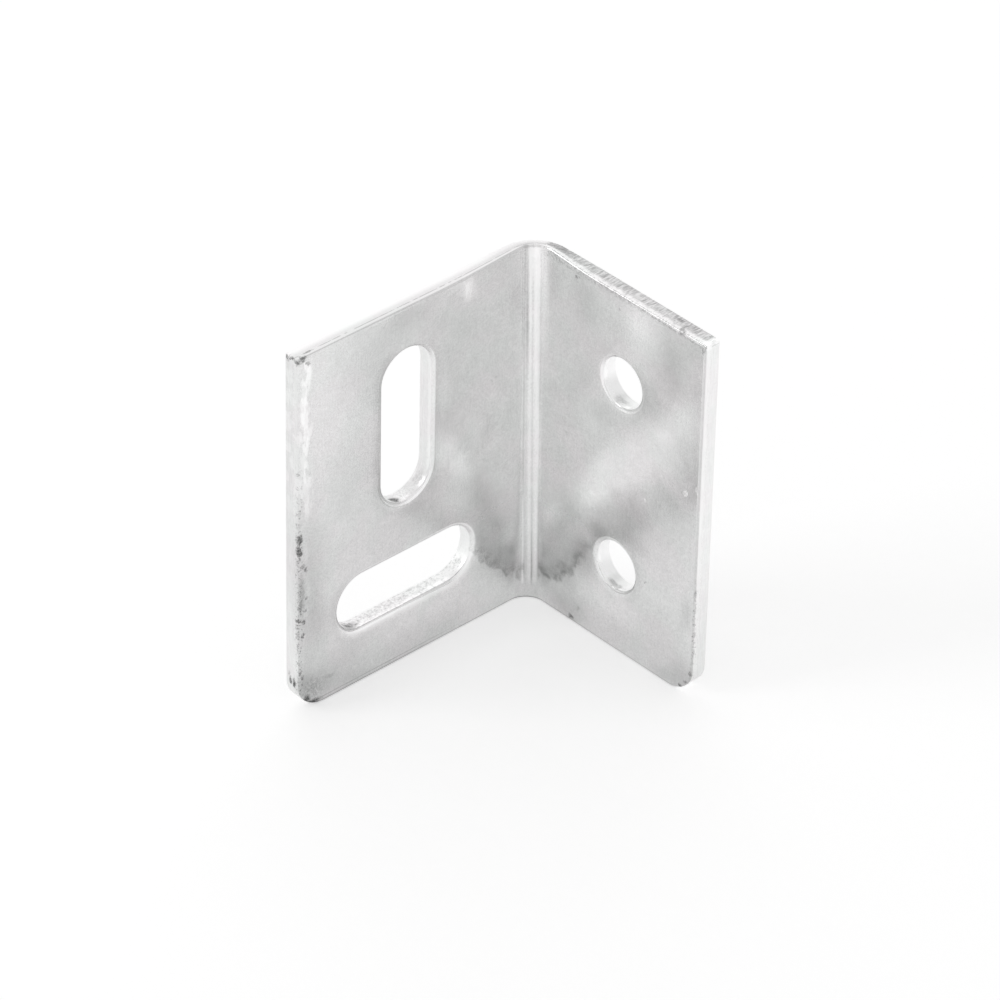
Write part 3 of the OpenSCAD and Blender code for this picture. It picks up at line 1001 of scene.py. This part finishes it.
# %% Zinc plating
# The rolls, with painted highlight and shade: round the openings a lighter roll and a dark
# line where it meets the wall, and a darker roll along the top of the slotted leg and at the
# holed tip
inside_borders = (zinc.ease(along, slotted_far - 0.9, slotted_far - 1.4)
                  * zinc.ease(along, holed_far + 0.8, holed_far + 1.3)
                  * zinc.ease(up, 1.0, 1.8) * zinc.ease(up, top_up - 1.2, top_up - 1.7)
                  * zinc.ease(from_fold, 3.0, 4.0))
on_roll = zinc.ease(depth, face_depth - 0.001, face_depth - 0.02)
top_roll_shade = on_roll * zinc.ease(depth, 1.52, 1.58) * top_side * (1 - holed_side) * 0.06
tip_roll_shade = on_roll * zinc.ease(depth, 1.50, 1.56) * holed_tip * 0.14
rim_roll_highlight = on_roll * zinc.ease(depth, 1.42, 1.52) * inside_borders
rim_shade_line = zinc.line(depth, 1.50, 0.07) * inside_borders * (0.10 + sill * 0.42)

# Painted shade: a fine dark line runs above the lower edge of the slotted leg, and the
# lowest roll of both legs is darker
bottom_edge_shade_line = zinc.line(up, 0.54, 0.10) * 0.26 + zinc.ease(up, 0.38, 0.28) * 0.10
bottom_edge_shade_line = bottom_edge_shade_line * zinc.ease(along, 5.0, 16.0) + zinc.ease(up, 0.22, 0.08) * 0.60
bottom_edge_shade_line = bottom_edge_shade_line * on_inside

tone = sheet_tone + (edge_tone - sheet_tone) * edge
tone = tone + nose + rubbed * 0.14 + highlight_streaks * 0.17 + rim_roll_highlight * 0.10 + glow * on_inside
tone = tone * (1 - (low_painted_shade + far_painted_shade) * (1 - edge * 0.7)) * (1 - fold_foot_shade) * (1 - shade)
tone = tone * (1 - fold_painted_shade) * (1 - top_roll_shade - tip_roll_shade) * (1 - nibbled_roll * top_side)
tone = tone * (1 - pitted * 0.85) * (1 - specks) * (1 - rim_shade_line) * (1 - bottom_edge_shade_line)

greenish_white = (0.992, 1.0, 0.994, 1)
pinkish_white = (1.0, 0.988, 0.992, 1)
warm = zinc.ease(zinc.grain(place, 0.22, detail=2), 0.40, 0.60)
colour = zinc.blend(warm, greenish_white, pinkish_white)
grey = zinc.node("ShaderNodeCombineColor", {}, {"Red": tone, "Green": tone, "Blue": tone})
tinted = zinc.node("ShaderNodeMix", {"data_type": "RGBA", "blend_type": "MULTIPLY"},
                   {0: 1.0, 6: grey, 7: colour}, output=2)

dulled_foot = zinc.ease(up, 16.0, 8.0) * zinc.ease(from_fold, 11.0, 7.0) * 0.12
bright_rough = 0.20
rough = (bright_rough + (cloud - 0.5) * 0.10 + broken * 0.16 + pitted * 0.3 + dulled_foot
         + edge * inside_borders * (1 - holed_side) * 0.14)
# In millimetres, because the bump's distance is one millimetre
relief = ((combed - 0.5) * 0.003 + (freckle - 0.5) * 0.002 + broken * (comb - 0.5) * 0.02
          - pitted * 0.03 + rubbed * 0.01)
bumped = zinc.node("ShaderNodeBump", {}, {"Strength": 1.0, "Distance": mm, "Height": relief})
skin = zinc.node("ShaderNodeBsdfPrincipled", {},
                 {"Base Color": tinted, "Roughness": rough, "Metallic": 1.0, "Normal": bumped})
zinc.node("ShaderNodeOutputMaterial", {}, {"Surface": skin}, output=None)
plate.data.materials.clear()
plate.data.materials.append(zinc.owner)
print("nodes in the zinc finish:", len(zinc.tree.nodes))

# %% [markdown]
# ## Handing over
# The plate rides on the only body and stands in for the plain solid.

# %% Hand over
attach(plate, "root")
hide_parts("plate")
bpy.context.scene.view_settings.view_transform = "Standard"
